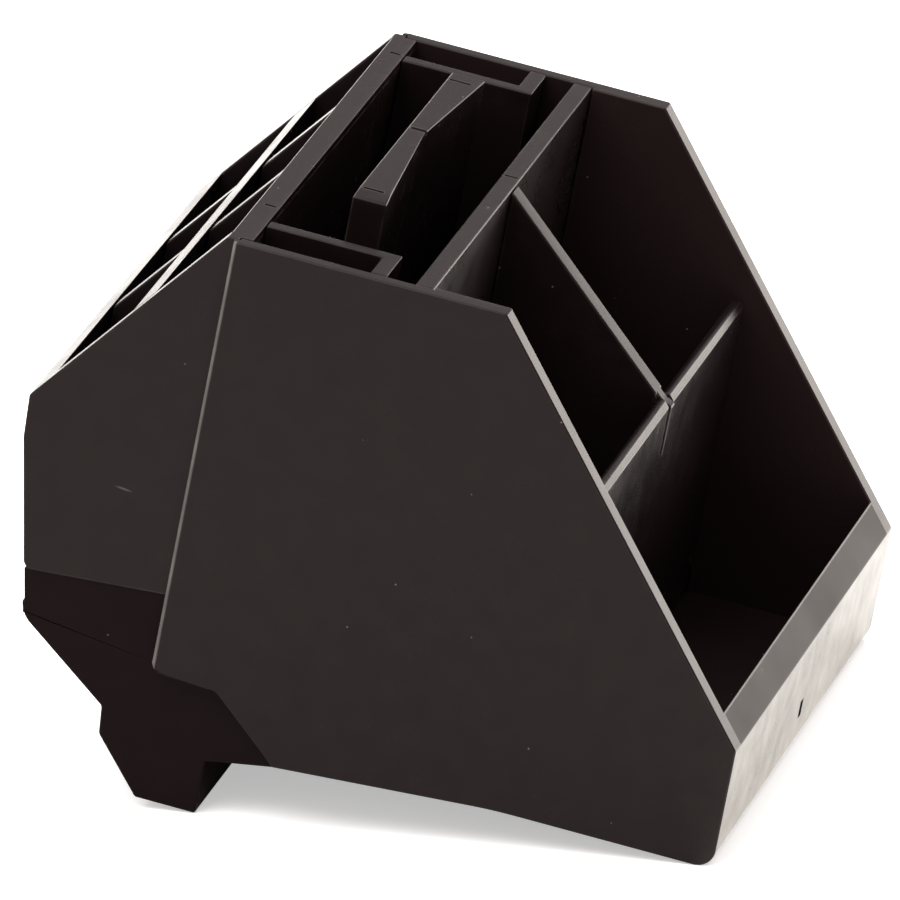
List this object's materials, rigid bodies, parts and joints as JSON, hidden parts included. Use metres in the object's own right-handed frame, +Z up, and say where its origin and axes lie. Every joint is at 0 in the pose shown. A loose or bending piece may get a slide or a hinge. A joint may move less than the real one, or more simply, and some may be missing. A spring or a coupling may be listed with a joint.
{
  "type": "desk organizer",
  "caption": "Leaning desk organizer in black plastic: a tub with a pen well, ruler slots and note bins, a hung-on rear module of small cells, and a keel foot.",
  "frame": {"origin": "centre of the footprint's bounding box, on the table plane", "axes": "+Z up, +X towards the front of the low bin, Y across the width; the caddy leans forward about Y, as it stands on a flat table"},
  "size_m": [0.1872, 0.1762, 0.1588],
  "materials": {
    "black_plastic": "moulded ABS, semi-gloss, lightly scuffed",
    "base_plastic": "moulded ABS, fine matt grain",
    "screw_steel": "zinc-plated steel"
  },
  "bodies": {
    "front_module": {"front_shell": "black_plastic", "mid_partition": "black_plastic", "slot_wall_near": "black_plastic", "slot_wall_far": "black_plastic", "grip_wall": "black_plastic", "base_keel": "base_plastic", "base_screw_1": "screw_steel", "base_screw_2": "screw_steel", "base_screw_3": "screw_steel", "base_screw_4": "screw_steel"},
    "rear_module": {"rear_shell": "black_plastic", "rear_cross_divider": "black_plastic", "rear_column_divider_near": "black_plastic", "rear_column_divider_far": "black_plastic"},
    "cross_divider": {"front_cross_divider": "black_plastic"},
    "centre_divider": {"front_centre_divider": "black_plastic"}
  },
  "joints": [
    {"name": "rear_module_lift", "type": "slide", "parent": "front_module", "child": "rear_module", "axis": [0.1871, 0, 0.9823], "range_m": [0, 0.12]},
    {"name": "cross_divider_lift", "type": "slide", "parent": "front_module", "child": "cross_divider", "axis": [0.1871, 0, 0.9823], "range_m": [0, 0.13]},
    {"name": "centre_divider_lift", "type": "slide", "parent": "cross_divider", "child": "centre_divider", "axis": [0.1871, 0, 0.9823], "range_m": [0, 0.13]}
  ]
}
